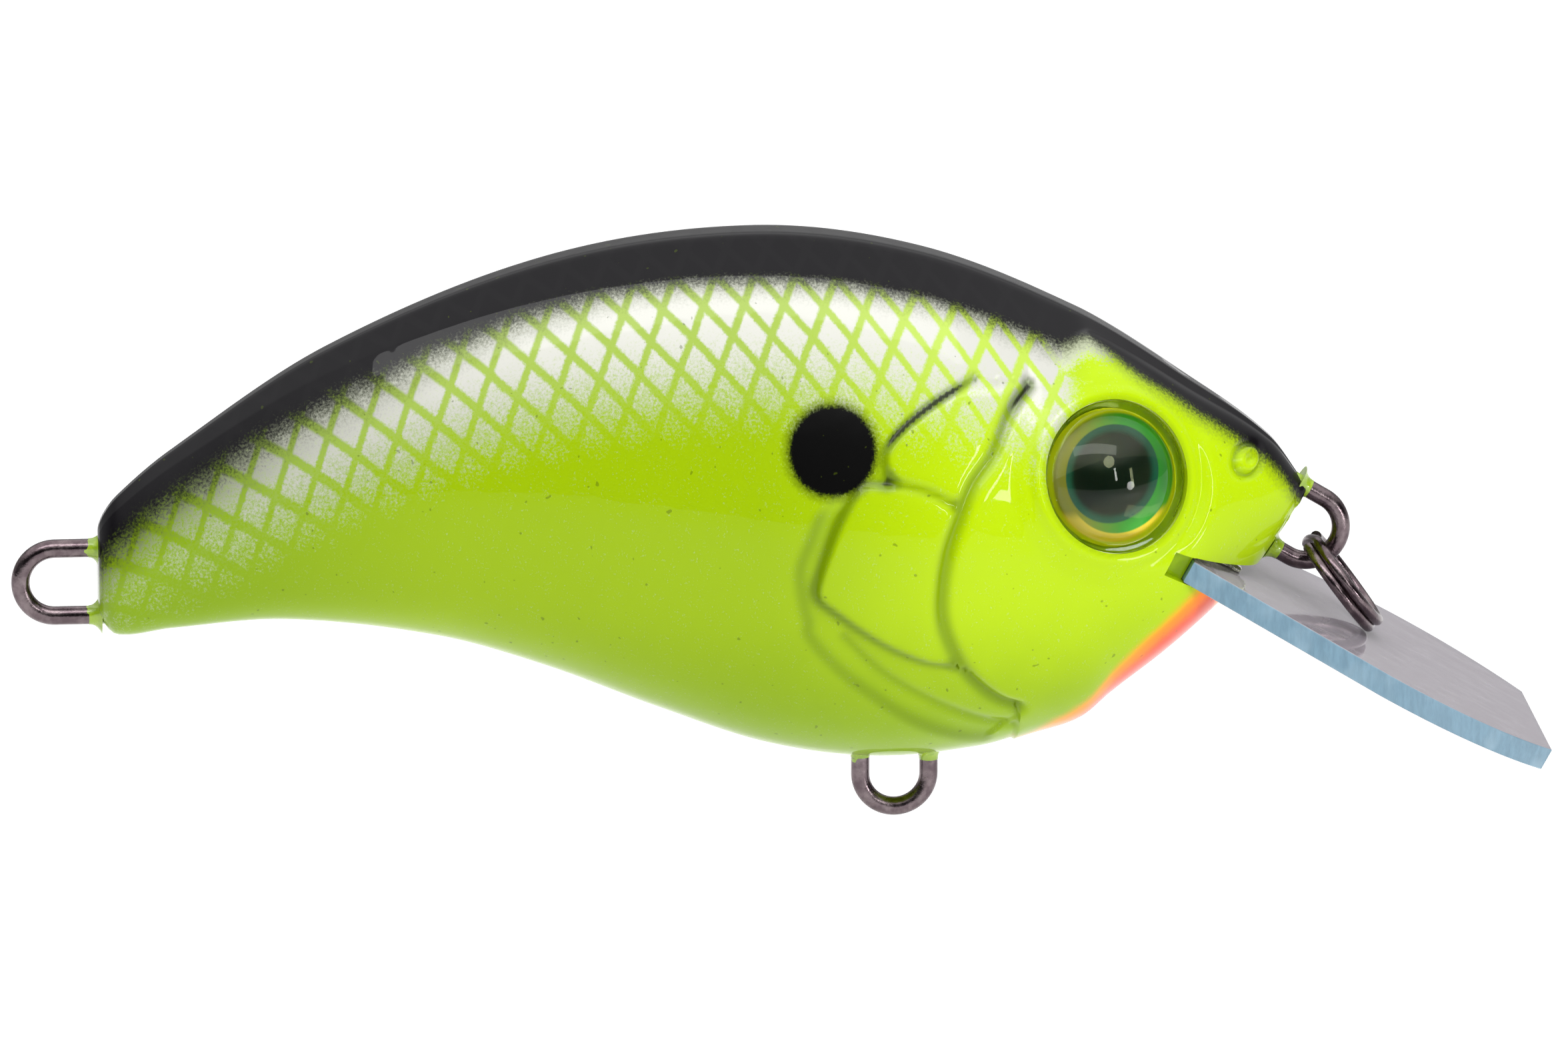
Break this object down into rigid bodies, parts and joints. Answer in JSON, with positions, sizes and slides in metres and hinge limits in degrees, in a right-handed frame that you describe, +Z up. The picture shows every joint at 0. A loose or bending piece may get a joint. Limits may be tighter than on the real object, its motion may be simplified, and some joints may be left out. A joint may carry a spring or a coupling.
{
  "type": "crankbait lure",
  "caption": "Hard plastic shallow diving fishing lure with an arched body, a clear square bill, wire eyes for line and hooks, a swinging split ring and sliding rattle balls inside.",
  "frame": {"origin": "centre of the line tie's wire eye at the nose", "axes": "+X forward out of the nose, +Y to the lure's left side, +Z up towards the back"},
  "size_m": [0.0824, 0.0188, 0.0326],
  "materials": {
    "painted_shell": "airbrushed chartreuse and black under a gloss clear coat",
    "bill_plate": "clear polycarbonate plate with sawn edges",
    "clear_resin": "clear epoxy bead",
    "hanger_wire": "black nickel plated stainless wire",
    "ring_wire": "black nickel plated spring wire",
    "eye_lens": "clear domed plastic, yellow tinted flange",
    "eye_foil": "printed foil, green iris and dark pupil",
    "steel_weight": "polished steel"
  },
  "bodies": {
    "root": {"body_right": "painted_shell", "body_left": "painted_shell", "bill": "bill_plate", "bill_glue": "clear_resin", "line_tie": "hanger_wire", "belly_hanger": "hanger_wire", "tail_hanger": "hanger_wire", "eye_lens_right": "eye_lens", "eye_lens_left": "eye_lens", "eye_foil_right": "eye_foil", "eye_foil_left": "eye_foil", "chest_slug": "steel_weight", "ballast_ball": "steel_weight"},
    "ring": {"split_ring": "ring_wire"},
    "rattle_front": {"rattle_ball_front": "steel_weight"},
    "rattle_middle": {"rattle_ball_middle": "steel_weight"},
    "rattle_rear": {"rattle_ball_rear": "steel_weight"}
  },
  "joints": [
    {"name": "ring_swing", "type": "hinge", "parent": "root", "child": "ring", "pos_m": [0, 0, 0], "axis": [0, -1, 0], "range_deg": [0, 145]},
    {"name": "rattle_front_slide", "type": "slide", "parent": "root", "child": "rattle_front", "axis": [0, 1, 0], "range_m": [-0.00396, 0.00396]},
    {"name": "rattle_middle_slide", "type": "slide", "parent": "root", "child": "rattle_middle", "axis": [0, 1, 0], "range_m": [-0.00276, 0.00276]},
    {"name": "rattle_rear_slide", "type": "slide", "parent": "root", "child": "rattle_rear", "axis": [0, 1, 0], "range_m": [-0.00195, 0.00195]}
  ]
}
